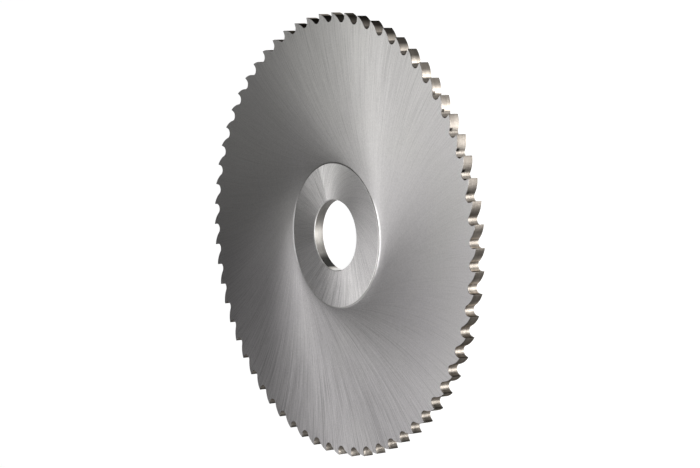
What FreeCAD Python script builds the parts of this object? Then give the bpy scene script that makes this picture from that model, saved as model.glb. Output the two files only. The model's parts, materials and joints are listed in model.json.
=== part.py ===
import FreeCAD, Part
import math
import os
import Sketcher

# Slitting saw: a one-piece disc cutter that lies flat, its axis along Z.
# The body is built about its own middle plane and then raised by half its
# thickness, so the row's origin is the centre of the lower face. One tooth
# tip lies on +X. Lengths are in millimetres and angles in degrees.

NODE = "saw_blade"

# Every independent size, written once: alias, value, what it measures.
SIZES = (
    ("outer_diameter", 200.0, "over the tooth tips"),
    ("plate_thickness", 5.0, "across the hub and across the tips"),
    ("bore_diameter", 32.0, "arbor hole"),
    ("bore_chamfer", 0.3, "break at both mouths of the bore"),
    ("hub_diameter", 65.0, "flat hub ring on each side"),
    ("hollow_depth", 0.45, "how far a ground flank lies below the hub at its edge"),
    ("hub_fillet_radius", 1.0, "sweep from the ground flank up to the hub edge"),
    ("tooth_count", 64, "teeth round the rim"),
    ("tooth_depth", 4.2, "from the tip circle to the gullet floor"),
    ("gullet_radius", 2.3, "round at the gullet floor"),
    ("rake_angle", 7.0, "lean of the tooth face behind the radius"),
    ("relief_angle", 14.0, "fall of the tooth back just behind its tip"),
    ("tip_land", 0.1, "turned rim left at each tip"),
    ("cutter_overrun", 2.0, "how far outside the tips the gullet outline is closed"),
)


def add_sheet(doc):
    """Spreadsheet that drives the model, one row for each size."""
    sheet = doc.addObject("Spreadsheet::Sheet", "Sizes")
    for row, (alias, value, meaning) in enumerate(SIZES, start=1):
        sheet.set("A%d" % row, alias)
        sheet.set("B%d" % row, str(value))
        sheet.set("C%d" % row, meaning)
        sheet.setAlias("B%d" % row, alias)
    return sheet


def origin_feature(body, role):
    """One of the body's own base planes or axes, found by what it is."""
    for feature in body.Origin.OriginFeatures:
        if feature.Role == role:
            return feature
    raise ValueError("no origin feature with the role " + role)


def add_sketch(body, name, plane_role):
    sketch = body.newObject("Sketcher::SketchObject", name)
    sketch.AttachmentSupport = [(origin_feature(body, plane_role), "")]
    sketch.MapMode = "FlatFace"
    return sketch


def point(x, y):
    return FreeCAD.Vector(x, y, 0.0)


def polar(radius, angle):
    return point(radius * math.cos(angle), radius * math.sin(angle))


def heading(start, end):
    """Direction from one point to another, as an angle."""
    return math.atan2(end.y - start.y, end.x - start.x)


def line(sketch, start, end, construction=False):
    return sketch.addGeometry(Part.LineSegment(start, end), construction)


def arc(sketch, centre, radius, first_angle, last_angle):
    circle = Part.Circle(centre, FreeCAD.Vector(0, 0, 1), radius)
    return sketch.addGeometry(Part.ArcOfCircle(circle, first_angle, last_angle))


def rule(sketch, kind, *places):
    """Adds a constraint that has no size of its own."""
    sketch.addConstraint(Sketcher.Constraint(kind, *places))


def measure(sketch, kind, places, start_value, expression):
    """Adds a dimension and binds it to the sheet."""
    index = sketch.addConstraint(Sketcher.Constraint(kind, *places, start_value))
    sketch.setExpression("Constraints[%d]" % index, expression)


# Ends of a sketch element, and the sketch's own origin point and X axis.
START = 1
END = 2
CENTRE = 3
ORIGIN = (-1, 1)
X_AXIS = -1


def draw_blank_section(body, size):
    """Plain rectangle from the bore wall to the tip circle."""
    sketch = add_sketch(body, "BlankSection", "XZ_Plane")
    bore = size["bore_diameter"] / 2
    rim = size["outer_diameter"] / 2
    half = size["plate_thickness"] / 2
    corners = [point(bore, -half), point(rim, -half), point(rim, half), point(bore, half)]
    lower, outer, upper, inner = [
        line(sketch, corners[n], corners[(n + 1) % 4]) for n in range(4)
    ]
    for here, following in ((lower, outer), (outer, upper), (upper, inner), (inner, lower)):
        rule(sketch, "Coincident", here, END, following, START)
    for flat in (lower, upper):
        rule(sketch, "Horizontal", flat)
    rule(sketch, "Vertical", inner)
    rule(sketch, "Symmetric", outer, START, outer, END, X_AXIS)
    measure(sketch, "DistanceX", (*ORIGIN, inner, END), bore, "Sizes.bore_diameter / 2")
    measure(sketch, "DistanceX", (*ORIGIN, outer, START), rim, "Sizes.outer_diameter / 2")
    measure(sketch, "DistanceY", (outer, START, outer, END), 2 * half, "Sizes.plate_thickness")
    return sketch


def draw_flank_section(body, size):
    """Wedge ground off one side: nothing at the rim, deepest beside the hub."""
    sketch = add_sketch(body, "FlankSection", "XZ_Plane")
    hub = size["hub_diameter"] / 2
    rim = size["outer_diameter"] / 2
    face = size["plate_thickness"] / 2
    depth = size["hollow_depth"]
    fillet = size["hub_fillet_radius"]
    slope = math.atan2(depth, rim - hub)
    # The fillet starts at the hub edge and runs out tangent to the flank.
    edge_height = depth * math.cos(slope)
    run = math.sqrt(fillet**2 - (fillet - edge_height) ** 2)
    foot = point(
        hub + edge_height * math.sin(slope) + run * math.cos(slope),
        face - edge_height * math.cos(slope) + run * math.sin(slope),
    )
    centre = foot + fillet * point(-math.sin(slope), math.cos(slope))
    hub_edge = point(hub, face)
    rim_edge = point(rim, face)
    sweep = arc(sketch, centre, fillet, heading(centre, hub_edge), heading(centre, foot))
    flank = line(sketch, foot, rim_edge)
    top = line(sketch, rim_edge, hub_edge)
    gauge = line(sketch, hub_edge, point(hub, face - depth), True)
    rule(sketch, "Tangent", sweep, END, flank, START)
    rule(sketch, "Coincident", flank, END, top, START)
    rule(sketch, "Coincident", top, END, sweep, START)
    rule(sketch, "Horizontal", top)
    rule(sketch, "Coincident", gauge, START, sweep, START)
    rule(sketch, "Vertical", gauge)
    rule(sketch, "PointOnObject", gauge, END, flank)
    measure(sketch, "DistanceX", (*ORIGIN, sweep, START), hub, "Sizes.hub_diameter / 2")
    measure(sketch, "DistanceY", (*ORIGIN, sweep, START), face, "Sizes.plate_thickness / 2")
    measure(sketch, "DistanceX", (*ORIGIN, flank, END), rim, "Sizes.outer_diameter / 2")
    measure(sketch, "DistanceY", (gauge, END, gauge, START), depth, "Sizes.hollow_depth")
    measure(sketch, "Radius", (sweep,), fillet, "Sizes.hub_fillet_radius")
    return sketch


def gullet_layout(size):
    """Where the centres and joints of one gullet outline fall, tooth tip on +X."""
    rim = size["outer_diameter"] / 2
    gullet = size["gullet_radius"]
    rake = math.radians(size["rake_angle"])
    relief = math.radians(size["relief_angle"])
    land = size["tip_land"] / rim
    tip = point(rim, 0.0)
    # The tooth face runs in from the tip and meets the floor round tangentially.
    inward = -polar(1.0, rake)
    across = point(inward.y, -inward.x)
    beside_tip = tip + gullet * across
    centre_distance = rim - size["tooth_depth"] + gullet
    along = beside_tip.dot(inward)
    face_length = -along - math.sqrt(along**2 - beside_tip.dot(beside_tip) + centre_distance**2)
    floor_centre = beside_tip + face_length * inward
    face_foot = tip + face_length * inward
    # The back is one arc: it leaves the floor round tangentially and reaches
    # the next land with the relief angle.
    next_land = 2 * math.pi / size["tooth_count"] - land
    back_end = polar(rim, next_land)
    normal = -polar(1.0, next_land - relief)
    chord = back_end - floor_centre
    back = (chord.dot(chord) - gullet**2) / (2 * (gullet - normal.dot(chord)))
    back_centre = back_end + back * normal
    joint = floor_centre + (back_centre - floor_centre) * (gullet / (back + gullet))
    return {
        "tip": tip,
        "face_foot": face_foot,
        "floor_centre": floor_centre,
        "centre_distance": centre_distance,
        "joint": joint,
        "back": back,
        "back_centre": back_centre,
        "back_end": back_end,
        "next_land": next_land,
    }


def draw_gullet(body, size):
    """Space between two teeth: raked face, round floor and curved back."""
    sketch = add_sketch(body, "GulletOutline", "XY_Plane")
    place = gullet_layout(size)
    rim = size["outer_diameter"] / 2
    outside = rim + size["cutter_overrun"]
    rake = math.radians(size["rake_angle"])
    face_top = place["tip"] + size["cutter_overrun"] * polar(1.0, rake)
    back_top = polar(outside, place["next_land"])
    floor_centre = place["floor_centre"]
    back_centre = place["back_centre"]

    face = line(sketch, place["face_foot"], face_top)
    floor = arc(
        sketch, floor_centre, size["gullet_radius"],
        heading(floor_centre, place["joint"]), heading(floor_centre, place["face_foot"]),
    )
    back = arc(
        sketch, back_centre, place["back"],
        heading(back_centre, place["joint"]), heading(back_centre, place["back_end"]),
    )
    riser = line(sketch, place["back_end"], back_top)
    closing = arc(sketch, point(0, 0), outside, heading(point(0, 0), face_top), place["next_land"])
    tip_mark = sketch.addGeometry(Part.Point(place["tip"]), True)
    radial = line(sketch, point(0, 0), place["back_end"], True)
    normal = line(sketch, place["back_end"], back_centre, True)

    rule(sketch, "PointOnObject", tip_mark, START, X_AXIS)
    rule(sketch, "PointOnObject", tip_mark, START, face)
    rule(sketch, "Tangent", floor, END, face, START)
    rule(sketch, "Tangent", floor, START, back, START)
    rule(sketch, "Coincident", radial, START, *ORIGIN)
    rule(sketch, "Coincident", radial, END, back, END)
    rule(sketch, "Coincident", normal, START, back, END)
    rule(sketch, "Coincident", normal, END, back, CENTRE)
    rule(sketch, "Coincident", riser, START, back, END)
    rule(sketch, "PointOnObject", riser, END, radial)
    rule(sketch, "Coincident", closing, CENTRE, *ORIGIN)
    rule(sketch, "Coincident", closing, END, riser, END)
    rule(sketch, "Coincident", closing, START, face, END)

    measure(sketch, "DistanceX", (*ORIGIN, tip_mark, START), rim, "Sizes.outer_diameter / 2")
    measure(sketch, "Angle", (face,), rake, "Sizes.rake_angle * 1 deg")
    measure(sketch, "Radius", (floor,), size["gullet_radius"], "Sizes.gullet_radius")
    measure(
        sketch, "Distance", (*ORIGIN, floor, CENTRE), place["centre_distance"],
        "Sizes.outer_diameter / 2 - Sizes.tooth_depth + Sizes.gullet_radius",
    )
    measure(sketch, "Distance", (*ORIGIN, radial, END), rim, "Sizes.outer_diameter / 2")
    measure(
        sketch, "Angle", (radial,), place["next_land"],
        "360 deg / Sizes.tooth_count - Sizes.tip_land / (Sizes.outer_diameter / 2) * 1 rad",
    )
    measure(
        sketch, "Angle", (normal, START, radial, END), math.radians(size["relief_angle"]),
        "Sizes.relief_angle * 1 deg",
    )
    measure(
        sketch, "Radius", (closing,), outside,
        "Sizes.outer_diameter / 2 + Sizes.cutter_overrun",
    )
    return sketch


def bore_mouth_edges(feature, size):
    """Names of the two circles where the bore wall meets the hub faces."""
    bore = size["bore_diameter"] / 2
    names = []
    for number, edge in enumerate(feature.Shape.Edges, start=1):
        is_circle = isinstance(edge.Curve, Part.Circle)
        if is_circle and abs(edge.Curve.Radius - bore) < 1e-6:
            names.append("Edge%d" % number)
    return names


def build_saw(doc, size):
    body = doc.addObject("PartDesign::Body", "SawBlade")
    body.Label = NODE
    axis = (origin_feature(body, "Z_Axis"), [""])

    blank = body.newObject("PartDesign::Revolution", "TurnedBlank")
    blank.Profile = draw_blank_section(body, size)
    blank.ReferenceAxis = axis
    blank.Angle = 360.0
    doc.recompute()

    flank = body.newObject("PartDesign::Groove", "HollowFlank")
    flank.Profile = draw_flank_section(body, size)
    flank.ReferenceAxis = axis
    flank.Angle = 360.0
    doc.recompute()

    other_flank = body.newObject("PartDesign::Mirrored", "OtherHollowFlank")
    other_flank.Originals = [flank]
    other_flank.MirrorPlane = (origin_feature(body, "XY_Plane"), [""])
    body.Tip = other_flank
    doc.recompute()

    mouths = body.newObject("PartDesign::Chamfer", "BoreBreaks")
    mouths.Base = (other_flank, bore_mouth_edges(other_flank, size))
    mouths.setExpression("Size", "Sizes.bore_chamfer")
    body.Tip = mouths
    doc.recompute()

    gullet = body.newObject("PartDesign::Pocket", "Gullet")
    gullet.Profile = draw_gullet(body, size)
    gullet.SideType = "Symmetric"
    gullet.setExpression("Length", "Sizes.plate_thickness * 2")
    body.Tip = gullet
    doc.recompute()

    teeth = body.newObject("PartDesign::PolarPattern", "Teeth")
    teeth.Originals = [gullet]
    teeth.Axis = axis
    teeth.Angle = 360.0
    teeth.setExpression("Occurrences", "Sizes.tooth_count")
    body.Tip = teeth

    body.setExpression("Placement.Base.z", "Sizes.plate_thickness / 2")
    doc.recompute()
    return body


def check_model(doc, body):
    """Stops the build if a feature failed or did not change the metal."""
    for thing in doc.Objects:
        if "Invalid" in thing.State or "Error" in thing.State:
            raise ValueError("%s is in state %s" % (thing.Label, thing.State))
    steps = [thing for thing in body.Group if not thing.isDerivedFrom("Sketcher::SketchObject")]
    for earlier, later in zip(steps, steps[1:]):
        if not later.Shape.Volume < earlier.Shape.Volume - 0.01:
            raise ValueError(later.Label + " removed nothing")
    shape = body.Shape
    if shape.isNull() or not shape.isValid() or len(shape.Solids) != 1:
        raise ValueError("the saw is not one valid solid")


def main():
    os.makedirs("parts", exist_ok=True)
    size = {alias: value for alias, value, meaning in SIZES}
    doc = FreeCAD.newDocument("SlittingSaw")
    add_sheet(doc)
    doc.recompute()
    body = build_saw(doc, size)
    check_model(doc, body)
    body.Shape.exportStep(os.path.join("parts", body.Label + ".step"))
    box = body.Shape.optimalBoundingBox(True, False)
    print("%s: %.1f mm3, %d faces, %.3f x %.3f x %.3f mm, lowest point at z %.3f" % (
        body.Label, body.Shape.Volume, len(body.Shape.Faces),
        box.XLength, box.YLength, box.ZLength, box.ZMin,
    ))


main()
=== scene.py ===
"""Slitting saw: the ground steel, the studio and the camera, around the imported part."""

import json
import math

import bmesh
import bpy
from mathutils import Matrix, Vector, geometry


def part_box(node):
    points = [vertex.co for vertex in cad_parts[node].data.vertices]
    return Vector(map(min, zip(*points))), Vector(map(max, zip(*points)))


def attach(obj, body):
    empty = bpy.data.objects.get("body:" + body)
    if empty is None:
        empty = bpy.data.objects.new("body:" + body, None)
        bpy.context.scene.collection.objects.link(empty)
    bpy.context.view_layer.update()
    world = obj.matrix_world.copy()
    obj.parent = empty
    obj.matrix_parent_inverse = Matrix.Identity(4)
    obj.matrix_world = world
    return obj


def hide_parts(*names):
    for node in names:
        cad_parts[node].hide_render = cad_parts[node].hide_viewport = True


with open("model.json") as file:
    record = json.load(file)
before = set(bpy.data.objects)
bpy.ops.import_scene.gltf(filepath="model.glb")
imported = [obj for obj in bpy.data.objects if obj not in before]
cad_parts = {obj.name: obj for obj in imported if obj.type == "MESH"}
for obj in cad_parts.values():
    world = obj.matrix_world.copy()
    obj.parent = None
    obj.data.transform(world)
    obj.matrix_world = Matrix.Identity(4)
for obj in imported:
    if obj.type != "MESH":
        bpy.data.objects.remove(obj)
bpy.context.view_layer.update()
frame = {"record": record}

MM = 0.001

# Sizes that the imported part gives
low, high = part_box("saw_blade")
THICKNESS = high.z - low.z
RIM_RADIUS = (high.x - low.x) / 2
BORE_RADIUS = frame["record"]["mounts"][0]["dims"]["r_mm"] * MM

# Sizes of the blank's section
BORE_CHAMFER = 0.3 * MM
HUB_RADIUS = 32.5 * MM
HOLLOW_DEPTH = 0.45 * MM
HUB_FILLET = 1.0 * MM

# Sizes of the teeth
TOOTH_COUNT = 64
TOOTH_DEPTH = 4.2 * MM
GULLET_RADIUS = 2.3 * MM
RAKE = math.radians(7)
RELIEF = math.radians(14)
TIP_LAND = 0.1 * MM
PITCH = 2 * math.pi / TOOTH_COUNT

# Break of the hub's edge and of the edges round the teeth
EDGE_BREAK = 0.12 * MM

# How finely one pitch is divided. It starts about a quarter of a pitch before a tip, and
# the last BACK_START steps of that tooth's back lie in between. Below the hub's edge the
# first steps of the sweep are steep and take the finish of the edge.
CUT_TURN = -0.25 * PITCH
COLUMNS = 8
FACE_STEPS = 3
FLOOR_STEPS = 14
BACK_STEPS = 12
BACK_START = 4
FILLET_STEPS = 5
STEEP_STEPS = 3
HUB_RINGS = [radius * MM for radius in (20, 25, 30)]
FLANK_RINGS = [radius * MM for radius in (38, 46, 56, 66, 76, 86)]
LAST_RING = 93.5 * MM
SEAM_STEPS = 3
WELD = 0.001 * MM
# The flat polygon of each side is filled only inside its outline
FILL_INSIDE = 1
FILL_TOLERANCE = 1e-9
SHARP_ANGLE = math.radians(24)

# Seed of the tones by which the gullets differ
TONE_SEED = 5

# Finishes by face, as the sector's "finish" attribute numbers them
FLANK, HUB, BORE, GULLET, FACE, EDGE = range(6)

# The grinding wheel that left the arcs on the flanks, and how near the saw's axis it came
WHEEL_RADIUS = 200 * MM
FLANK_PASS = 32.4 * MM

# Sweep of the marks on the hub faces, clockwise from the radius, by share of the turn.
# The pass starts and ends at one angle, where the marks meet in a fan.
HUB_START = math.radians(105)
HUB_SWEEP = [
    (0.0, 23), (0.04, 31), (0.083, 42), (0.13, 47), (0.2, 48), (0.32, 46),
    (0.42, 34), (0.5, 22), (0.62, 14), (0.72, 0), (0.85, -5), (1.0, -5),
]
HUB_MIDDLE = 24 * MM
# Least and greatest lean of the marks, as the tangent of their sweep
LEAST_LEAN, MOST_LEAN = -0.2, 1.2


def polar(radius, angle):
    """Point on the saw's plane."""
    return Vector((radius * math.cos(angle), radius * math.sin(angle)))


def swing(centre, start, end, steps):
    """Points along the short arc round a centre, both ends included."""
    first = start - centre
    turn = math.atan2(first.cross(end - centre), first.dot(end - centre))
    return [centre + Matrix.Rotation(turn * k / steps, 2) @ first for k in range(steps + 1)]


def gullet_outline():
    """Outline of one tooth and gullet, counter-clockwise, and the place of the tip in it.

    It starts and ends on the backs of two neighbouring teeth.
    """
    tip = Vector((RIM_RADIUS, 0.0))
    inward = -polar(1.0, RAKE)
    across = Vector((inward.y, -inward.x))
    beside_tip = tip + GULLET_RADIUS * across
    centre_distance = RIM_RADIUS - TOOTH_DEPTH + GULLET_RADIUS
    along = beside_tip.dot(inward)
    gap = along**2 - beside_tip.length_squared + centre_distance**2
    face_length = -along - math.sqrt(gap)
    floor_centre = beside_tip + face_length * inward
    face_foot = tip + face_length * inward
    land = TIP_LAND / RIM_RADIUS
    back_end = polar(RIM_RADIUS, PITCH - land)
    normal = -polar(1.0, PITCH - land - RELIEF)
    chord = back_end - floor_centre
    back = (chord.length_squared - GULLET_RADIUS**2) / (2 * (GULLET_RADIUS - normal.dot(chord)))
    back_centre = back_end + back * normal
    share = GULLET_RADIUS / (back + GULLET_RADIUS)
    joint = floor_centre + (back_centre - floor_centre) * share
    face = [tip.lerp(face_foot, k / FACE_STEPS) for k in range(FACE_STEPS)]
    floor = swing(floor_centre, face_foot, joint, FLOOR_STEPS)
    rise = swing(back_centre, joint, back_end, BACK_STEPS)
    split = BACK_STEPS - BACK_START
    unturn = Matrix.Rotation(-PITCH, 2)
    back = [unturn @ p for p in rise[split:]]
    return back + face + floor[:-1] + rise[: split + 1], len(back)


def inset(outline, tip, distance):
    """The outline moved into the metal, its corners mitred, its ends kept on their radii.

    The land is narrower than the distance, so its two ends meet in one point.
    """
    kept = outline[: tip - 1] + outline[tip:]
    moved = []
    for k, spot in enumerate(kept):
        if k in (0, len(kept) - 1):
            moved.append(spot.normalized() * (spot.length - distance))
            continue
        a = (spot - kept[k - 1]).normalized()
        b = (kept[k + 1] - spot).normalized()
        normal_a = Vector((-a.y, a.x))
        normal_b = Vector((-b.y, b.x))
        middle = (normal_a + normal_b).normalized()
        moved.append(spot + middle * (distance / middle.dot(normal_a)))
    return moved[:tip] + moved[tip - 1 :]


def flank_height(radius):
    """Height of the hollow-ground flank above the lower hub face."""
    slope = HOLLOW_DEPTH / (RIM_RADIUS - HUB_RADIUS)
    return THICKNESS - slope * (RIM_RADIUS - radius)


def section():
    """Radius, height and finish from the bore mouth out to the last ring."""
    slope = math.atan2(HOLLOW_DEPTH, RIM_RADIUS - HUB_RADIUS)
    edge_height = HOLLOW_DEPTH * math.cos(slope)
    run = math.sqrt(HUB_FILLET**2 - (HUB_FILLET - edge_height) ** 2)
    foot = Vector((HUB_RADIUS + edge_height * math.sin(slope) + run * math.cos(slope), 0))
    foot.y = flank_height(foot.x)
    centre = foot + HUB_FILLET * Vector((-math.sin(slope), math.cos(slope)))
    hub_edge = Vector((HUB_RADIUS, THICKNESS))
    fillet = swing(centre, hub_edge, foot, FILLET_STEPS)
    # The hub's edge is broken by a small bevel, set off along both of its sides
    down = (fillet[1] - hub_edge).normalized()
    lower_edge = hub_edge + down * EDGE_BREAK
    rows = [
        (BORE_RADIUS, THICKNESS - BORE_CHAMFER, EDGE),
        (BORE_RADIUS + BORE_CHAMFER, THICKNESS, HUB),
        *((radius, THICKNESS, HUB) for radius in HUB_RINGS),
        (HUB_RADIUS - EDGE_BREAK, THICKNESS, EDGE),
        (lower_edge.x, lower_edge.y, EDGE),
    ]
    kinds = [EDGE] * STEEP_STEPS + [FLANK] * FILLET_STEPS
    rows += [(p.x, p.y, kinds[k]) for k, p in enumerate(fillet[1:], 1)]
    rows += [(r, flank_height(r), FLANK) for r in FLANK_RINGS + [LAST_RING]]
    return rows


def sector_mesh():
    """One pitch of the saw, from bore to rim, with half a tooth at each side."""
    shape = bmesh.new()
    finish = shape.faces.layers.int.new("finish")

    def face(corners, kind):
        new = shape.faces.new(corners)
        new[finish] = kind

    def place(p, height, side):
        z = height if side > 0 else THICKNESS - height
        return shape.verts.new((p.x, p.y, z))

    def wound(corners, side):
        return corners if side > 0 else corners[::-1]

    outline, tip = gullet_outline()
    rim_inner = inset(outline, tip, EDGE_BREAK)
    turns = [CUT_TURN + PITCH * k / COLUMNS for k in range(COLUMNS + 1)]
    rows = section()

    # Flat polygon between the last ring and the rim, cut into triangles
    ring = [polar(LAST_RING, turn) for turn in turns]
    seam_low = [ring[0].lerp(rim_inner[0], k / SEAM_STEPS) for k in range(1, SEAM_STEPS)]
    turned = Matrix.Rotation(PITCH, 2)
    seam_high = [turned @ p for p in seam_low]
    edge = rim_inner[:tip] + rim_inner[tip + 1 :]
    loop = ring[::-1] + seam_low + edge + seam_high[::-1]
    whole = [list(range(len(loop)))]
    flat = geometry.delaunay_2d_cdt(loop, [], whole, FILL_INSIDE, FILL_TOLERANCE)
    corners_2d, triangles = flat[0], flat[2]

    for side in (1, -1):
        rings = [[place(polar(r, t), h, side) for t in turns] for r, h, _ in rows]
        for k in range(len(rows) - 1):
            kind = rows[k][2]
            inner, outer = rings[k], rings[k + 1]
            for j in range(COLUMNS):
                quad = [inner[j], outer[j], outer[j + 1], inner[j + 1]]
                face(wound(quad, side), kind)
        crown = [place(p, flank_height(p.length), side) for p in corners_2d]
        for triangle in triangles:
            face(wound([crown[i] for i in triangle], side), FLANK)
        broken = [place(p, flank_height(p.length), side) for p in rim_inner]
        walls = [place(p, flank_height(p.length) - EDGE_BREAK, side) for p in outline]
        for k in range(len(outline) - 1):
            quad = [broken[k], walls[k], walls[k + 1], broken[k + 1]]
            face(wound(quad, side), EDGE)
        if side > 0:
            top_walls, top_bore = walls, rings[0]
        else:
            bottom_walls, bottom_bore = walls, rings[0]

    for k in range(len(outline) - 1):
        kind = FACE if tip <= k < tip + FACE_STEPS else GULLET
        face([top_walls[k], bottom_walls[k], bottom_walls[k + 1], top_walls[k + 1]], kind)
    for j in range(COLUMNS):
        quad = [top_bore[j], top_bore[j + 1], bottom_bore[j + 1], bottom_bore[j]]
        face(quad, BORE)

    bmesh.ops.remove_doubles(shape, verts=shape.verts, dist=WELD)
    mesh = bpy.data.meshes.new("saw_sector")
    shape.to_mesh(mesh)
    shape.free()
    return mesh


# Colours, wear and painted light of the finishes


def rgb(*levels):
    return (*levels, 1.0)


# Where the curved floor of a gullet ends and the back of the next tooth starts
tooth_line, tip_place = gullet_outline()
FLOOR_END = tooth_line[tip_place + FACE_STEPS + FLOOR_STEPS].length

# Sides of the saw, as unit vectors from its axis: where the wheel pressed hardest, which is
# also painted lighter; where the flank has a painted highlight at the hub's foot; where the
# gullets' tips have a painted highlight and their corners painted shade; and where the bore
# has painted shade and a painted reflection
PRESSED_AND_LIT_SIDE = (-0.259, -0.966, 0.0)
FOOT_HIGHLIGHT_SIDES = (0.996, -0.087, 0.0)
TIP_HIGHLIGHT_SIDE = (-0.087, 0.996, 0.0)
CORNER_SHADE_SIDE = (0.914, 0.407, 0.0)
BORE_SHADE_SIDE = (-0.656, -0.755, 0.0)
BORE_GLINT_SIDE = (-0.309, -0.951, 0.0)

# The grinding marks start off the zero lines of the noise, which would show as an odd streak
NOISE_START = (1.731, 2.913, 0.377)
FINE_DETAIL = 4.0
FINE_SHARPNESS = 0.70
# The fine lines that pass the first of these levels are deep scratches, full at the other
DEEP_LEVELS = 0.58, 0.66
CLOUD_LEVELS = 0.35, 0.7
CLOUD_SWIRL = 0.6
PIT_SCALE = 1400.0
CLOUD_SCALE = 20.0
# How far the shine of each finish is drawn out across its marks
FACE_ANISOTROPY = 0.84
WALL_ANISOTROPY = 0.8
# How fast the direction of the single scratches changes, against the fine scale
WANDER_SCALE = 0.8
# How much the broad bands and the clouds add to the roughness of a ground face
BAND_ROUGHNESS = 0.03
CLOUD_ROUGHNESS = 0.02
# How far the deep scratches go down, against the height of the fine lines
DEEP_SHARE = 0.8

# Faint tints of the steel, and the way in which the cool one turns into the warm one
COOL = rgb(1.0, 0.974, 0.984)
WARM = rgb(1.0, 0.990, 0.960)
TINT_WAY = (0.0, 1.0, 0.0)
TINT_FROM, TINT_TO = -0.03, 0.09
TINT_BY_CLOUD = 0.5

# Painted highlight at the foot of the hub: how near its two sides it starts and is full, and where
# it fades
FOOT_HIGHLIGHT_SPREAD = 0.84, 0.98
FOOT_HIGHLIGHT_FADE = HUB_RADIUS + 0.9 * MM, HUB_RADIUS + 1.8 * MM

# Looks of the ground faces. Pressure is how strong the marks are, by the place round the
# saw, and broad_share how far the broad bands replace the fine lines. Contrast, deep and
# pits are the strengths of the lines, the deep scratches and the pits. The lines change
# outwards by drift, and a single scratch turns aside by wander.
FLANK_LOOK = {
    "light": rgb(0.765, 0.762, 0.762),
    "dark": rgb(0.365, 0.363, 0.363),
    "pressure": [
        (0.0, 1.8), (0.1, 1.3), (0.21, 0.75), (0.37, 0.50),
        (0.65, 0.75), (0.8, 1.6), (0.875, 2.1), (1.0, 3.0),
    ],
    "broad_share": 0.05,
    # Painted highlight at the hub's foot
    "foot_highlight_gain": 2.0,
    "warmth": -0.15,
    "contrast": 1.25,
    "deep": 0.30,
    "pits": 0.38,
    "roughness": 0.33,
    "fine_scale": 210.0,
    "broad_scale": 40.0,
    "drift": 0.15,
    "wander": 0.06,
}
HUB_LOOK = {
    "light": rgb(0.865, 0.862, 0.862),
    "dark": rgb(0.465, 0.463, 0.463),
    "pressure": [
        (0.0, 3.2), (0.05, 1.8), (0.12, 1.0), (0.26, 1.5), (0.38, 2.2),
        (0.5, 3.0), (0.6, 3.2), (0.7, 1.8), (0.8, 1.1), (0.9, 2.0), (1.0, 3.4),
    ],
    "broad_share": 0.2,
    "foot_highlight_gain": 1.0,
    "warmth": 0.0,
    "contrast": 1.4,
    "deep": 0.30,
    "pits": 0.5,
    "roughness": 0.31,
    "fine_scale": 85.0,
    "broad_scale": 16.0,
    "drift": 0.8,
    "wander": 0.12,
}
MOST_PRESSURE = 5.0
SCRATCH_DEPTH = 0.007 * MM

# Walls of the gullets
WALL_LIGHT = rgb(0.240, 0.219, 0.195)
WALL_DARK = rgb(0.106, 0.094, 0.082)
FACE_LIGHT = rgb(0.324, 0.298, 0.264)
FACE_DARK = rgb(0.126, 0.114, 0.101)
# Seen along the surface, the rough walls shine less than clean metal
GRAZING_SHINE = rgb(0.35, 0.34, 0.32)
WALL_ROUGHNESS = 0.49
WALL_BAND_ROUGHNESS = 0.12
WALL_SCRATCH_DEPTH = 0.003 * MM
WALL_SCRATCH_STRENGTH = 0.5
# Noise levels of the darkest and lightest lines, and how far the clouds and the tone of the
# darkest gullet turn them down
WALL_LEVELS = 0.65, 1.35
WALL_CLOUD_SHADE = 0.6
DARKEST_GULLET = 0.7
# The lines run along the wall: the noise is drawn out in the saw's plane
WALL_STRETCH = (0.12, 0.12, 1.0)
WALL_SCALES = {"fine_scale": 3000.0, "broad_scale": 600.0}
WALL_CLOUD_SCALE = 120.0
# Where the floor's painted highlight fades, where the floor's wear and painted light turn into
# the back's, and the span over which the back's goes from its foot to its upper part
FLOOR_FADE = FLOOR_END - 0.3 * MM, FLOOR_END + 0.5 * MM
FLOOR_EDGE = FLOOR_END - 0.15 * MM, FLOOR_END + 0.25 * MM
BACK_SPAN = FLOOR_END + 0.2 * MM, RIM_RADIUS - 1.2 * MM
# Painted light: how much brighter the walls are on the side that the wheel pressed hardest.
# Spreads, here and below, are cosines: where a zone round the saw starts, and from where on
# it is full.
LIT_SIDE_GAIN = 1.2
LIT_SIDE_SPREAD = 0.4, 1.0
# Where a tooth face darkens towards its tip
TIP_ZONE = RIM_RADIUS - 1.6 * MM, RIM_RADIUS - 0.3 * MM
# Painted shade sits on the start of the back on one side: its middle, how far it reaches
# from there, and the heights above which it starts and is full
CORNER_SHADE_MIDDLE = FLOOR_END + 0.2 * MM
CORNER_SHADE_REACH = 0.35 * MM, 0.7 * MM
CORNER_SHADE_HEIGHT = 3.0 * MM, 3.7 * MM
CORNER_SHADE_SPREAD = 0.95, 0.98
# Near the tips, on one side, a painted highlight: the radii where it starts and is full,
# and how bright the steel is painted there
TIP_HIGHLIGHT_FROM, TIP_HIGHLIGHT_TO = RIM_RADIUS - 1.2 * MM, RIM_RADIUS - 0.4 * MM
TIP_HIGHLIGHT_GAIN = 3.0
TIP_HIGHLIGHT_SPREAD = 0.95, 0.995
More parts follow.
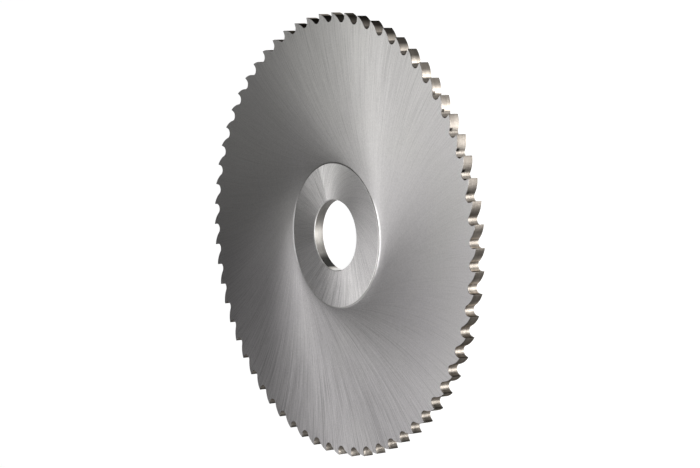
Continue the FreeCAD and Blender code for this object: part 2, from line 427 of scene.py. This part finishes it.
# Wear of the gullets round the saw, partly wear and partly painted highlight and painted
# shade: degrees from +X, then how bright the floor, the foot of the back and its upper part
# are against plain steel
WALL_WEAR_AND_LIGHT = [
    (-60, 1.0, 1.0, 1.0), (-32, 1.0, 1.0, 0.85), (-8, 1.0, 2.6, 0.65), (3, 1.0, 0.7, 0.7),
    (12, 1.0, 0.6, 0.6), (24, 0.85, 1.2, 1.0), (37, 0.5, 3.2, 1.0), (50, 0.35, 3.0, 0.35),
    (64, 0.3, 1.3, 0.12), (75, 0.2, 0.3, 0.1), (82, 0.1, 0.1, 0.1), (98, 0.1, 0.1, 0.15),
    (105, 0.2, 0.35, 0.6), (116, 0.4, 0.4, 0.6), (123, 1.0, 1.5, 1.7), (140, 1.0, 1.0, 1.0),
]
WEAR_AND_LIGHT_START, WEAR_AND_LIGHT_END = WALL_WEAR_AND_LIGHT[0][0], WALL_WEAR_AND_LIGHT[-1][0]
MOST_WEAR_AND_LIGHT = 4.0

# Bore wall, with the painted shade and the painted reflection spot against plain steel
BORE_LIGHT = rgb(0.248, 0.239, 0.225)
BORE_DARK = rgb(0.135, 0.129, 0.120)
BORE_ROUGHNESS = 0.52
BORE_CLOUD_ROUGHNESS = 0.05
BORE_STRETCH = (0.05, 0.05, 1.0)
BORE_SCALES = {"fine_scale": 6000.0, "broad_scale": 900.0}
BORE_CLOUD_SCALE = 90.0
BORE_LEVELS = 0.3, 0.7
BORE_PAINTED_SHADE = 0.18
BORE_SHADE_SPREAD = 0.93, 0.985
BORE_GLINT_GAIN = 6.0
BORE_GLINT_SPREAD = 0.980, 0.986

# Broken edges: colours round the teeth, below the hub's edge, and on the hub's and the
# bore's edges, each from its darkest to its brightest
TOOTH_EDGE = rgb(0.14, 0.136, 0.132), rgb(0.30, 0.293, 0.286)
RING_EDGE = rgb(0.30, 0.293, 0.287), rgb(0.62, 0.606, 0.594)
BRIGHT_EDGE = rgb(0.68, 0.667, 0.654), rgb(0.78, 0.766, 0.752)
# The bright edges end at the first pair of radii, the ring below the hub's edge at the other
BRIGHT_END = HUB_RADIUS + 0.05 * MM, HUB_RADIUS + 0.09 * MM
RING_END = HUB_RADIUS + 1 * MM, HUB_RADIUS + 2 * MM
# The ring below the hub's edge goes from its darkest to its brightest towards the side that the
# wheel pressed hardest: painted light and shade
RING_SPREAD = 0.3, 0.8
EDGE_ROUGHNESS = 0.38, 0.46
EDGE_CLOUD_SCALE = 200.0


# Helpers for node trees


class Nodes:
    """Adds nodes to one tree and links them as they are made."""

    def __init__(self, tree):
        self.tree = tree

    def set(self, socket, value):
        if isinstance(value, bpy.types.NodeSocket):
            self.tree.links.new(value, socket)
        elif value is not None:
            socket.default_value = value

    def add(self, kind, *values, **settings):
        """A node with its properties set and its first inputs given in order."""
        node = self.tree.nodes.new(kind)
        for name, value in settings.items():
            setattr(node, name, value)
        for socket, value in zip(node.inputs, values):
            self.set(socket, value)
        return node

    def math(self, operation, *values):
        return self.add("ShaderNodeMath", *values, operation=operation).outputs[0]

    def vector(self, operation, *values):
        node = self.tree.nodes.new("ShaderNodeVectorMath")
        node.operation = operation
        sockets = [node.inputs[3]] if operation == "SCALE" else node.inputs[1:]
        self.set(node.inputs[0], values[0])
        for socket, value in zip(sockets, values[1:]):
            self.set(socket, value)
        single = operation in ("DOT_PRODUCT", "LENGTH", "DISTANCE")
        return node.outputs["Value" if single else "Vector"]

    def ramp(self, value, start, end, low=0.0, high=1.0):
        """A value's range turned into another, held at both ends."""
        node = self.add("ShaderNodeMapRange", value, start, end, low, high)
        return node.outputs[0]

    def curve(self, value, points, low, high):
        """A value turned into another by a smooth curve through points."""
        node = self.tree.nodes.new("ShaderNodeFloatCurve")
        self.set(node.inputs["Value"], value)
        line = node.mapping.curves[0]
        line.points[0].location = (points[0][0], (points[0][1] - low) / (high - low))
        line.points[1].location = (points[-1][0], (points[-1][1] - low) / (high - low))
        for x, y in points[1:-1]:
            line.points.new(x, (y - low) / (high - low))
        node.mapping.update()
        return self.ramp(node.outputs[0], 0.0, 1.0, low, high)

    def noise(self, vector, scale, detail=3.0, roughness=0.5, distortion=0.0):
        node = self.add("ShaderNodeTexNoise")
        self.set(node.inputs["Vector"], vector)
        self.set(node.inputs["Scale"], scale)
        node.inputs["Detail"].default_value = detail
        node.inputs["Roughness"].default_value = roughness
        node.inputs["Distortion"].default_value = distortion
        return node.outputs["Fac"]

    def bump(self, height, distance, strength=1.0):
        """Normal of a surface with a height pressed into it."""
        node = self.add("ShaderNodeBump")
        node.inputs["Strength"].default_value = strength
        node.inputs["Distance"].default_value = distance
        self.set(node.inputs["Height"], height)
        return node.outputs[0]

    def around(self, position):
        """Radius of a position and its unit direction away from the saw's axis."""
        flat = self.vector("MULTIPLY", position, (1, 1, 0))
        return self.vector("LENGTH", flat), self.vector("NORMALIZE", flat)

    def azimuth(self, outward):
        split = self.add("ShaderNodeSeparateXYZ", outward).outputs
        return self.math("ARCTAN2", split["Y"], split["X"])

    def near(self, outward, side, start, end, low=0.0, high=1.0):
        """How near a direction lies to a side of the saw, as a ramp of their cosine."""
        return self.ramp(self.vector("DOT_PRODUCT", outward, side), start, end, low, high)

    def upright(self):
        """Direction up along a wall, square to its normal."""
        normal = self.add("ShaderNodeNewGeometry").outputs["Normal"]
        level = self.vector("CROSS_PRODUCT", normal, (0, 0, 1))
        return self.vector("CROSS_PRODUCT", level, normal)

    def blend(self, share, low, high):
        """A colour between two others."""
        node = self.add("ShaderNodeMix", data_type="RGBA")
        self.set(node.inputs["Factor"], share)
        self.set(node.inputs["A"], low)
        self.set(node.inputs["B"], high)
        return node.outputs["Result"]


def new_group(name, inputs, outputs):
    """Empty shader node group with named sockets, and its two end nodes."""
    tree = bpy.data.node_groups.new(name, "ShaderNodeTree")
    for label, kind, value in inputs:
        socket = tree.interface.new_socket(label, in_out="INPUT", socket_type=kind)
        if value is not None:
            socket.default_value = value
    for label, kind in outputs:
        tree.interface.new_socket(label, in_out="OUTPUT", socket_type=kind)
    return tree, tree.nodes.new("NodeGroupInput"), tree.nodes.new("NodeGroupOutput")


def grind_marks_group():
    """Streaks from grinding: fine lines, broad bands and a few deep scratches."""
    tree, given, result = new_group(
        "grind_marks",
        [
            ("Along Marks", "NodeSocketVector", None),
            ("Fine Scale", "NodeSocketFloat", 400.0),
            ("Broad Scale", "NodeSocketFloat", 40.0),
        ],
        [("Fine", "NodeSocketFloat"), ("Broad", "NodeSocketFloat"), ("Deep", "NodeSocketFloat")],
    )
    nodes = Nodes(tree)
    along = given.outputs["Along Marks"]
    fine = nodes.noise(along, given.outputs["Fine Scale"], FINE_DETAIL, FINE_SHARPNESS)
    nodes.set(result.inputs["Fine"], fine)
    nodes.set(result.inputs["Broad"], nodes.noise(along, given.outputs["Broad Scale"]))
    nodes.set(result.inputs["Deep"], nodes.ramp(fine, *DEEP_LEVELS))
    return tree


def handling_group():
    """Faint clouds that oil and handling leave on bare steel, and its finest pits."""
    tree, given, result = new_group(
        "handling",
        [("Position", "NodeSocketVector", None), ("Patch Scale", "NodeSocketFloat", 30.0)],
        [("Cloud", "NodeSocketFloat"), ("Pits", "NodeSocketFloat")],
    )
    nodes = Nodes(tree)
    position, scale = given.outputs["Position"], given.outputs["Patch Scale"]
    cloud = nodes.noise(position, scale, distortion=CLOUD_SWIRL)
    nodes.set(result.inputs["Cloud"], nodes.ramp(cloud, *CLOUD_LEVELS))
    pits = nodes.noise(position, PIT_SCALE, detail=1.0)
    nodes.set(result.inputs["Pits"], pits)
    return tree


GRIND_MARKS = grind_marks_group()
HANDLING = handling_group()


def use_group(nodes, tree, **values):
    node = nodes.tree.nodes.new("ShaderNodeGroup")
    node.node_tree = tree
    for name, value in values.items():
        nodes.set(node.inputs[name.replace("_", " ").title()], value)
    return node


def steel(name):
    """New metal material, its node helper and its shader."""
    material = bpy.data.materials.new(name)
    material.use_nodes = True
    nodes = Nodes(material.node_tree)
    shader = material.node_tree.nodes["Principled BSDF"]
    shader.inputs["Metallic"].default_value = 1.0
    return material, nodes, shader


def wheel_arcs(nodes, position):
    """Marks on the flank: the vector across them and one that is even along each of them.

    The radius follows, and the place for the pressure curve: the share of the way from the
    side opposite PRESSED_AND_LIT_SIDE to that side.

    Each mark is an arc of the grinding wheel, whose centre goes round the saw's axis so
    that the wheel just clears the hub.
    """
    reach = WHEEL_RADIUS + FLANK_PASS
    radius, outward = nodes.around(position)
    square = nodes.math("MULTIPLY", radius, radius)
    top = nodes.math("ADD", square, reach**2 - WHEEL_RADIUS**2)
    cosine = nodes.math("DIVIDE", top, nodes.math("MULTIPLY", radius, 2 * reach))
    cosine = nodes.math("MINIMUM", nodes.math("MAXIMUM", cosine, -1.0), 1.0)
    turn = nodes.math("MULTIPLY", nodes.math("ARCCOSINE", cosine), -1.0)
    rotate = nodes.add("ShaderNodeVectorRotate", rotation_type="Z_AXIS")
    nodes.set(rotate.inputs["Vector"], outward)
    nodes.set(rotate.inputs["Angle"], turn)
    centre_way = rotate.outputs[0]
    centre = nodes.vector("SCALE", centre_way, reach)
    flat = nodes.vector("SCALE", outward, radius)
    across = nodes.vector("NORMALIZE", nodes.vector("SUBTRACT", centre, flat))
    place = nodes.near(outward, PRESSED_AND_LIT_SIDE, -1, 1)
    return across, centre_way, radius, place


def hub_sweep(nodes, position):
    """Marks on the hub face: the vector across them and one that is even along each of them.

    The marks are spirals. Their sweep from the radius drifts round the face. The radius
    follows, and the place for the pressure curve: the share of the pass.
    """
    radius, outward = nodes.around(position)
    angle = nodes.azimuth(outward)
    back = nodes.math("SUBTRACT", HUB_START, angle)
    share = nodes.math("FRACT", nodes.math("DIVIDE", back, 2 * math.pi))
    points = [(place, math.tan(math.radians(sweep))) for place, sweep in HUB_SWEEP]
    lean = nodes.curve(share, points, LEAST_LEAN, MOST_LEAN)
    spread = nodes.math("LOGARITHM", nodes.math("DIVIDE", radius, HUB_MIDDLE), math.e)
    line = nodes.math("ADD", angle, nodes.math("MULTIPLY", lean, spread))
    x, y = nodes.math("COSINE", line), nodes.math("SINE", line)
    way = nodes.add("ShaderNodeCombineXYZ", x, y, 0.0).outputs[0]
    round_way = nodes.vector("CROSS_PRODUCT", (0, 0, 1), outward)
    across = nodes.vector("ADD", nodes.vector("SCALE", outward, lean), round_way)
    return nodes.vector("NORMALIZE", across), way, radius, share


def ground_face(name, marks_of, look):
    """Flank or hub face: grinding marks, with anisotropic shine across them."""
    material, nodes, shader = steel(name)
    position = nodes.add("ShaderNodeTexCoord").outputs["Object"]
    across, way, radius, place = marks_of(nodes, position)
    outward = nodes.around(position)[1]
    drift = nodes.add("ShaderNodeCombineXYZ", 0.0, 0.0, radius).outputs[0]
    along = nodes.vector("ADD", way, nodes.vector("SCALE", drift, look["drift"]))
    along = nodes.vector("ADD", along, NOISE_START)
    scales = {key: look[key] for key in ("fine_scale", "broad_scale")}
    marks = use_group(nodes, GRIND_MARKS, along_marks=along, **scales).outputs
    fine, broad, deep = (marks[key] for key in ("Fine", "Broad", "Deep"))
    skin = use_group(nodes, HANDLING, position=position, patch_scale=CLOUD_SCALE).outputs
    cloud = skin["Cloud"]
    pits = nodes.math("SUBTRACT", skin["Pits"], 0.5)

    # Colour: the marks between dark and light, the pits, a faint tint and the painted highlight at
    # the foot
    pressure = nodes.curve(place, look["pressure"], 0, MOST_PRESSURE)
    tone = nodes.ramp(look["broad_share"], 0, 1, fine, broad)
    tone = nodes.math("SUBTRACT", tone, nodes.math("MULTIPLY", deep, look["deep"]))
    tone = nodes.math("MULTIPLY", nodes.math("SUBTRACT", tone, 0.5), look["contrast"])
    tone = nodes.math("ADD", nodes.math("MULTIPLY", tone, pressure), 0.5)
    tone = nodes.math("ADD", tone, nodes.math("MULTIPLY", pits, look["pits"]))
    bare = nodes.blend(tone, look["dark"], look["light"])
    tint = nodes.ramp(nodes.vector("DOT_PRODUCT", position, TINT_WAY), TINT_FROM, TINT_TO)
    tint = nodes.math("ADD", tint, nodes.math("MULTIPLY", cloud, TINT_BY_CLOUD))
    tint = nodes.math("ADD", tint, look["warmth"])
    tinted = nodes.blend(nodes.ramp(tint, 0, 1), COOL, WARM)
    colour = nodes.add("ShaderNodeMix", data_type="RGBA", blend_type="MULTIPLY")
    nodes.set(colour.inputs["Factor"], 1.0)
    nodes.set(colour.inputs["A"], bare)
    nodes.set(colour.inputs["B"], tinted)
    # Painted highlight at the foot of the hub, on two sides
    foot = nodes.math("ABSOLUTE", nodes.vector("DOT_PRODUCT", outward, FOOT_HIGHLIGHT_SIDES))
    foot = nodes.ramp(foot, *FOOT_HIGHLIGHT_SPREAD, 1.0, look["foot_highlight_gain"])
    foot = nodes.ramp(radius, *FOOT_HIGHLIGHT_FADE, foot, 1)
    nodes.set(shader.inputs["Base Color"], nodes.vector("SCALE", colour.outputs["Result"], foot))

    # Shine: each scratch runs a little off the common direction, so it catches the light alone
    rough = nodes.math("ADD", nodes.math("MULTIPLY", broad, BAND_ROUGHNESS), look["roughness"])
    rough = nodes.math("ADD", rough, nodes.math("MULTIPLY", cloud, CLOUD_ROUGHNESS))
    nodes.set(shader.inputs["Roughness"], rough)
    shader.inputs["Anisotropic"].default_value = FACE_ANISOTROPY
    wander = nodes.noise(along, look["fine_scale"] * WANDER_SCALE, detail=2.0)
    wander = nodes.math("MULTIPLY", nodes.math("SUBTRACT", wander, 0.5), look["wander"])
    aside = nodes.vector("CROSS_PRODUCT", (0, 0, 1), across)
    tangent = nodes.vector("ADD", across, nodes.vector("SCALE", aside, wander))
    nodes.set(shader.inputs["Tangent"], nodes.vector("NORMALIZE", tangent))
    depth = nodes.math("SUBTRACT", fine, nodes.math("MULTIPLY", deep, DEEP_SHARE))
    nodes.set(shader.inputs["Normal"], nodes.bump(depth, SCRATCH_DEPTH))
    return material


def ground_wall(name, light, dark, floor_highlight_gain, tip_gain, corner_shade):
    """Walls of the gullets: darker steel with grinding lines along their curve.

    Floor and tip are brighter or darker by their gains, the floor's gain being a painted
    highlight, and the wear of the walls round the saw, partly painted highlight and painted
    shade, by its table. The side that the wheel pressed hardest is painted brighter, the tips on
    one side carry a painted highlight, and on one side the start of the back keeps a spot of
    painted shade.
    """
    material, nodes, shader = steel(name)
    position = nodes.add("ShaderNodeTexCoord").outputs["Object"]
    along = nodes.vector("MULTIPLY", position, WALL_STRETCH)
    marks = use_group(nodes, GRIND_MARKS, along_marks=along, **WALL_SCALES).outputs
    fine, broad = marks["Fine"], marks["Broad"]
    skin = use_group(nodes, HANDLING, position=position, patch_scale=WALL_CLOUD_SCALE)
    cloud = skin.outputs["Cloud"]
    own = nodes.add("ShaderNodeAttribute", attribute_name="gullet_tone").outputs["Fac"]
    radius, outward = nodes.around(position)

    tone = nodes.ramp(nodes.math("ADD", fine, broad), *WALL_LEVELS)
    tone = nodes.math("MULTIPLY", tone, nodes.ramp(cloud, 0, 1, 1.0, WALL_CLOUD_SHADE))
    tone = nodes.math("MULTIPLY", tone, nodes.ramp(own, 0, 1, DARKEST_GULLET, 1.0))
    # Painted highlight on the gullet floor, and the tip darker by its gain
    gain = nodes.ramp(radius, *FLOOR_FADE, floor_highlight_gain, 1.0)
    gain = nodes.math("MULTIPLY", gain, nodes.ramp(radius, *TIP_ZONE, 1.0, tip_gain))
    # Painted light: the walls are brighter on the side that the wheel pressed hardest
    lit_side = nodes.near(outward, PRESSED_AND_LIT_SIDE, *LIT_SIDE_SPREAD, 1.0, LIT_SIDE_GAIN)
    gain = nodes.math("MULTIPLY", gain, lit_side)

    # Wear and painted light round the saw, and a painted highlight on the tips of one side
    place = nodes.ramp(nodes.azimuth(outward), math.radians(WEAR_AND_LIGHT_START), math.radians(WEAR_AND_LIGHT_END))
    shares = [(row[0] - WEAR_AND_LIGHT_START) / (WEAR_AND_LIGHT_END - WEAR_AND_LIGHT_START) for row in WALL_WEAR_AND_LIGHT]
    levels = list(zip(*WALL_WEAR_AND_LIGHT))[1:]
    floor, foot, crest = (nodes.curve(place, list(zip(shares, k)), 0, MOST_WEAR_AND_LIGHT) for k in levels)
    worn_and_lit = nodes.ramp(radius, *BACK_SPAN, foot, crest)
    worn_and_lit = nodes.ramp(radius, *FLOOR_EDGE, floor, worn_and_lit)
    brightened = nodes.near(outward, TIP_HIGHLIGHT_SIDE, *TIP_HIGHLIGHT_SPREAD)
    brightened = nodes.math("MULTIPLY", brightened, nodes.ramp(radius, TIP_HIGHLIGHT_FROM, TIP_HIGHLIGHT_TO))
    worn_and_lit = nodes.ramp(brightened, 0, 1, worn_and_lit, TIP_HIGHLIGHT_GAIN)
    gain = nodes.math("MULTIPLY", gain, worn_and_lit)

    # Painted shade on the start of the back, on one side
    height = nodes.add("ShaderNodeSeparateXYZ", position).outputs["Z"]
    off = nodes.math("ABSOLUTE", nodes.math("SUBTRACT", radius, CORNER_SHADE_MIDDLE))
    patch = nodes.ramp(off, *CORNER_SHADE_REACH, 1.0, 0.0)
    patch = nodes.math("MULTIPLY", patch, nodes.ramp(height, *CORNER_SHADE_HEIGHT))
    patch = nodes.math("MULTIPLY", patch, nodes.near(outward, CORNER_SHADE_SIDE, *CORNER_SHADE_SPREAD))
    gain = nodes.math("MULTIPLY", gain, nodes.ramp(patch, 0, 1, 1.0, 1.0 - corner_shade))
    shade = nodes.vector("SCALE", nodes.blend(tone, dark, light), gain)
    nodes.set(shader.inputs["Base Color"], shade)
    rough = nodes.math("MULTIPLY", broad, WALL_BAND_ROUGHNESS)
    nodes.set(shader.inputs["Roughness"], nodes.math("ADD", rough, WALL_ROUGHNESS))
    shader.inputs["Specular Tint"].default_value = GRAZING_SHINE
    # The shine spreads along the thickness and stays narrow round the curve of the gullet
    shader.inputs["Anisotropic"].default_value = WALL_ANISOTROPY
    nodes.set(shader.inputs["Tangent"], nodes.upright())
    nodes.set(shader.inputs["Normal"], nodes.bump(fine, WALL_SCRATCH_DEPTH, WALL_SCRATCH_STRENGTH))
    return material


def polished_bore():
    """Bore wall: honing lines round the hole, painted shade on one side and a painted reflection
    spot.
    """
    material, nodes, shader = steel("polished_bore")
    position = nodes.add("ShaderNodeTexCoord").outputs["Object"]
    along = nodes.vector("MULTIPLY", position, BORE_STRETCH)
    marks = use_group(nodes, GRIND_MARKS, along_marks=along, **BORE_SCALES)
    skin = use_group(nodes, HANDLING, position=position, patch_scale=BORE_CLOUD_SCALE)
    lines = nodes.ramp(marks.outputs["Fine"], *BORE_LEVELS)
    shade = nodes.blend(lines, BORE_DARK, BORE_LIGHT)
    outward = nodes.around(position)[1]
    # Painted shade on one side and a painted reflection spot on another
    bore_shade = nodes.near(outward, BORE_SHADE_SIDE, *BORE_SHADE_SPREAD, 1.0, BORE_PAINTED_SHADE)
    spot = nodes.near(outward, BORE_GLINT_SIDE, *BORE_GLINT_SPREAD, 1.0, BORE_GLINT_GAIN)
    gain = nodes.math("MULTIPLY", bore_shade, spot)
    nodes.set(shader.inputs["Base Color"], nodes.vector("SCALE", shade, gain))
    rough = nodes.math("MULTIPLY", skin.outputs["Cloud"], BORE_CLOUD_ROUGHNESS)
    nodes.set(shader.inputs["Roughness"], nodes.math("ADD", rough, BORE_ROUGHNESS))
    shader.inputs["Anisotropic"].default_value = WALL_ANISOTROPY
    nodes.set(shader.inputs["Tangent"], nodes.upright())
    return material


def worn_and_shaded_edge():
    """Broken edges, bright round the bore and the hub and dark round the teeth.

    The steep part of the sweep, below the hub's edge, is duller than the edge itself, and is
    painted lighter on the side that the wheel pressed hardest and darker away from it, as
    painted light and shade.
    """
    material, nodes, shader = steel("worn_and_shaded_edge")
    position = nodes.add("ShaderNodeTexCoord").outputs["Object"]
    skin = use_group(nodes, HANDLING, position=position, patch_scale=EDGE_CLOUD_SCALE)
    cloud = skin.outputs["Cloud"]
    radius, outward = nodes.around(position)
    # Painted light and shade: below the hub's edge the ring is lighter on one side, darker on the
    # other
    ring = nodes.blend(nodes.near(outward, PRESSED_AND_LIT_SIDE, *RING_SPREAD), *RING_EDGE)
    below = nodes.ramp(radius, *RING_END, 1.0, 0.0)
    dull = nodes.blend(below, nodes.blend(cloud, *TOOTH_EDGE), ring)
    brightened = nodes.ramp(radius, *BRIGHT_END, 1.0, 0.0)
    bright = nodes.blend(cloud, *BRIGHT_EDGE)
    nodes.set(shader.inputs["Base Color"], nodes.blend(brightened, dull, bright))
    nodes.set(shader.inputs["Roughness"], nodes.ramp(cloud, 0, 1, *EDGE_ROUGHNESS))
    return material


FINISHES = {
    FLANK: ground_face("ground_flank", wheel_arcs, FLANK_LOOK),
    HUB: ground_face("ground_hub", hub_sweep, HUB_LOOK),
    BORE: polished_bore(),
    GULLET: ground_wall(
        "ground_gullet", WALL_LIGHT, WALL_DARK, floor_highlight_gain=1.28, tip_gain=1.0, corner_shade=0.92
    ),
    FACE: ground_wall(
        "ground_tooth_face", FACE_LIGHT, FACE_DARK, floor_highlight_gain=1.0, tip_gain=0.25, corner_shade=0.0
    ),
    EDGE: worn_and_shaded_edge(),
}


def round_of_teeth():
    """Node tree that repeats the sector round the axis, welds it and sets its finishes."""
    tree = bpy.data.node_groups.new("round_of_teeth", "GeometryNodeTree")
    sockets = {}
    for name, way, kind in (
        ("Geometry", "INPUT", "NodeSocketGeometry"),
        ("Teeth", "INPUT", "NodeSocketInt"),
        ("Weld Distance", "INPUT", "NodeSocketFloat"),
        ("Tone Seed", "INPUT", "NodeSocketInt"),
        ("Geometry", "OUTPUT", "NodeSocketGeometry"),
    ):
        sockets[name] = tree.interface.new_socket(name, in_out=way, socket_type=kind)
    nodes = Nodes(tree)
    given = nodes.add("NodeGroupInput")
    result = nodes.add("NodeGroupOutput")
    places = nodes.add("GeometryNodePoints", given.outputs["Teeth"])
    number = nodes.add("GeometryNodeInputIndex").outputs[0]
    step = nodes.math("DIVIDE", 2 * math.pi, given.outputs["Teeth"])
    turn = nodes.add("ShaderNodeCombineXYZ", 0.0, 0.0, nodes.math("MULTIPLY", number, step))
    copies = nodes.add("GeometryNodeInstanceOnPoints")
    nodes.set(copies.inputs["Points"], places.outputs[0])
    nodes.set(copies.inputs["Instance"], given.outputs["Geometry"])
    nodes.set(copies.inputs["Rotation"], turn.outputs[0])
    tone = nodes.add("FunctionNodeRandomValue", data_type="FLOAT")
    nodes.set(tone.inputs["ID"], number)
    nodes.set(tone.inputs["Seed"], given.outputs["Tone Seed"])
    store = nodes.add("GeometryNodeStoreNamedAttribute", data_type="FLOAT", domain="INSTANCE")
    nodes.set(store.inputs["Geometry"], copies.outputs[0])
    nodes.set(store.inputs["Name"], "gullet_tone")
    nodes.set(store.inputs["Value"], tone.outputs[1])
    whole = nodes.add("GeometryNodeRealizeInstances", store.outputs[0]).outputs[0]
    weld = nodes.add("GeometryNodeMergeByDistance", whole)
    nodes.set(weld.inputs["Distance"], given.outputs["Weld Distance"])
    shown = weld.outputs[0]
    finish = nodes.add("GeometryNodeInputNamedAttribute", "finish", data_type="INT").outputs[0]
    for kind, material in FINISHES.items():
        same = nodes.add("FunctionNodeCompare", data_type="INT", operation="EQUAL")
        nodes.set(same.inputs["A"], finish)
        nodes.set(same.inputs["B"], kind)
        coat = nodes.add("GeometryNodeSetMaterial", shown, same.outputs[0], material)
        shown = coat.outputs[0]
    nodes.set(result.inputs[0], shown)
    return tree, sockets


def whole_saw():
    """The saw as one closed mesh."""
    maker = bpy.data.objects.new("saw_maker", sector_mesh())
    maker.data.materials.append(FINISHES[FLANK])
    bpy.context.scene.collection.objects.link(maker)
    tree, sockets = round_of_teeth()
    repeat = maker.modifiers.new("round", "NODES")
    repeat.node_group = tree
    repeat[sockets["Teeth"].identifier] = TOOTH_COUNT
    repeat[sockets["Weld Distance"].identifier] = WELD
    repeat[sockets["Tone Seed"].identifier] = TONE_SEED
    made = maker.evaluated_get(bpy.context.evaluated_depsgraph_get())
    mesh = bpy.data.meshes.new_from_object(made)
    bpy.data.objects.remove(maker)
    mesh.shade_smooth()
    mesh.set_sharp_from_angle(angle=SHARP_ANGLE)
    saw = bpy.data.objects.new("ground_saw", mesh)
    bpy.context.scene.collection.objects.link(saw)
    return saw


saw = whole_saw()
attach(saw, "root")
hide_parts("saw_blade")

# Camera: looks down on the saw from beyond its rim, turned so that the saw stands upright
LENS = 115.27
AIM = Vector((11.607, 0.079, 5.0)) * MM
VIEW_AZIMUTH = math.radians(0.04)
VIEW_ELEVATION = math.radians(35.964)
VIEW_DISTANCE = 1000.7 * MM
VIEW_ROLL = math.radians(94.304)
VIEW_LIMIT = 100.0


def from_centre(azimuth, elevation, distance):
    flat = polar(distance * math.cos(elevation), azimuth)
    return Vector((flat.x, flat.y, distance * math.sin(elevation)))


def place_camera():
    camera = bpy.data.objects.new("camera", bpy.data.cameras.new("camera"))
    camera.data.lens = LENS
    camera.data.clip_end = VIEW_LIMIT
    away = from_centre(VIEW_AZIMUTH, VIEW_ELEVATION, 1.0)
    level_right = Vector((0, 0, 1)).cross(away).normalized()
    level_up = away.cross(level_right)
    up = level_up * math.cos(VIEW_ROLL) + level_right * math.sin(VIEW_ROLL)
    right = up.cross(away)
    turn = Matrix((right, up, away)).transposed().to_4x4()
    camera.matrix_world = Matrix.Translation(AIM + away * VIEW_DISTANCE) @ turn
    bpy.context.scene.collection.objects.link(camera)
    bpy.context.scene.camera = camera


# Floor and room: how much of the floor's white is its own glow, how bright that is, the
# paint under it, half the floor's width, and the light from all round
FLOOR_SHARE = 0.8
FLOOR_GLOW = 1.17
FLOOR_PAINT = rgb(0.9, 0.9, 0.9)
FLOOR_HALF = 15.0
WORLD_LEVEL = 0.03


def floor_material():
    """Pale floor that shows white to the camera and in the steel, and keeps a faint shadow."""
    material = bpy.data.materials.new("pale_floor")
    material.use_nodes = True
    tree = material.node_tree
    tree.nodes.clear()
    nodes = Nodes(tree)
    path = nodes.add("ShaderNodeLightPath").outputs
    seen = nodes.math("MAXIMUM", path["Is Camera Ray"], path["Is Glossy Ray"])
    seen = nodes.math("MAXIMUM", seen, path["Is Transmission Ray"])
    share = nodes.math("MULTIPLY", seen, FLOOR_SHARE)
    paint = nodes.add("ShaderNodeBsdfDiffuse", FLOOR_PAINT)
    glow = nodes.add("ShaderNodeEmission", rgb(1, 1, 1), FLOOR_GLOW)
    mixed = nodes.add("ShaderNodeMixShader", share, paint.outputs[0], glow.outputs[0])
    output = nodes.add("ShaderNodeOutputMaterial")
    nodes.set(output.inputs["Surface"], mixed.outputs[0])
    material.cycles.emission_sampling = "NONE"
    return material


def make_floor():
    mesh = bpy.data.meshes.new("floor")
    signs = ((-1, -1), (1, -1), (1, 1), (-1, 1))
    corners = [(x * FLOOR_HALF, y * FLOOR_HALF, 0) for x, y in signs]
    mesh.from_pydata(corners, [], [(0, 1, 2, 3)])
    mesh.materials.append(floor_material())
    floor = bpy.data.objects.new("floor", mesh)
    bpy.context.scene.collection.objects.link(floor)


def make_world():
    world = bpy.data.worlds.new("studio")
    world.use_nodes = True
    background = world.node_tree.nodes["Background"]
    background.inputs["Color"].default_value = rgb(1, 1, 1)
    background.inputs["Strength"].default_value = WORLD_LEVEL
    bpy.context.scene.world = world


# Lamps: azimuth, elevation and distance from the bore's centre, half width and half height
# as seen from there, and how bright the lamp's face is, where white paper in full light is 1
LAMPS = {
    "back_high": (166, 60, 0.35, 20, 20, 0.985),
    "back_spot": (162, 68, 0.35, 12, 12, 0.131),
    "back_left": (150, 36, 0.60, 10, 10, 0.232),
    "back_strip": (180, 44, 0.60, 7, 7, 0.059),
    "far_back": (172, 32, 1.20, 7, 7, 0.341),
    "left_spot": (117, 58, 0.35, 7, 7, 0.814),
    "right": (-135, 47, 0.35, 20, 20, 0.29),
    "low_right": (-135, 32, 0.35, 14, 14, 0.73),
    "top": (-153, 74, 0.35, 25, 25, 0.71),
    "front_right": (-27, 58, 0.60, 7, 7, 1.2),
    "far_right": (-80, 60, 0.50, 12, 12, 3.65),
    "low_front": (-3, 9, 0.45, 27, 6, 50.0),
    "low_side": (58, 9, 0.45, 30, 6, 12.0),
    "mid_front": (-12, 22, 0.45, 14, 5, 40.0),
}


def add_lamp(name, azimuth, elevation, distance, half_width, half_height, brightness):
    light = bpy.data.lights.new(name, "AREA")
    light.shape = "ELLIPSE"
    light.size = 2 * distance * math.tan(math.radians(half_width))
    light.size_y = 2 * distance * math.tan(math.radians(half_height))
    area = math.pi * light.size * light.size_y / 4
    light.energy = brightness * math.pi * area
    lamp = bpy.data.objects.new(name, light)
    spot = from_centre(math.radians(azimuth), math.radians(elevation), distance)
    lamp.location = spot
    lamp.rotation_euler = spot.to_track_quat("Z", "Y").to_euler()
    lamp.visible_camera = False
    bpy.context.scene.collection.objects.link(lamp)


place_camera()
make_floor()
make_world()
for name, values in LAMPS.items():
    add_lamp(name, *values)

bpy.context.scene.view_settings.view_transform = "Standard"
